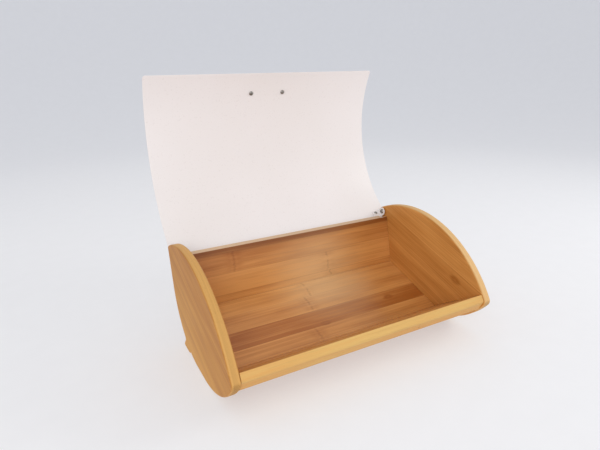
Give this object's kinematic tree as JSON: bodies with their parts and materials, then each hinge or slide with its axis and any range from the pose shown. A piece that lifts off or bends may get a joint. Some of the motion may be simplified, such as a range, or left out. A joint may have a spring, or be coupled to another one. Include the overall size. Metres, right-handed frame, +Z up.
{
  "type": "bread box",
  "caption": "Wide bamboo box with lens-shaped side panels, a sloping floor and a curved sheet-metal lid that swings up and back on side pivots.",
  "frame": {"origin": "on the ground under the middle of the box's extent with its lid open", "axes": "+X to the right along the width, +Y to the back, +Z up"},
  "size_m": [0.394, 0.3336, 0.3757],
  "materials": {
    "panel_bamboo": "satin clear lacquer over bamboo strips",
    "board_bamboo": "satin clear lacquer over bamboo strips",
    "rail_bamboo": "satin clear lacquer over light bamboo",
    "dowel_wood": "raw turned wood",
    "white_enamel": "satin off-white powder coat on sheet steel",
    "steel": "plain zinc-plated steel"
  },
  "bodies": {
    "body": {"left_side_panel": "panel_bamboo", "right_side_panel": "panel_bamboo", "floor_board": "board_bamboo", "back_board": "board_bamboo", "front_board": "board_bamboo", "front_rail": "rail_bamboo", "left_upper_rail_dowel": "dowel_wood", "right_upper_rail_dowel": "dowel_wood", "left_lower_rail_dowel": "dowel_wood", "right_lower_rail_dowel": "dowel_wood", "left_pivot_washer": "steel", "right_pivot_washer": "steel", "left_pivot_screw": "steel", "right_pivot_screw": "steel"},
    "lid": {"lid_sheet": "white_enamel", "left_hinge_ear": "white_enamel", "right_hinge_ear": "white_enamel", "left_ear_rivet": "steel", "right_ear_rivet": "steel", "lid_handle": "rail_bamboo", "left_handle_screw": "steel", "right_handle_screw": "steel"}
  },
  "joints": [
    {"name": "lid_hinge", "type": "hinge", "parent": "body", "child": "lid", "pos_m": [0, 0.06971, 0.136], "axis": [1, 0, 0], "range_deg": [0, 122]}
  ]
}
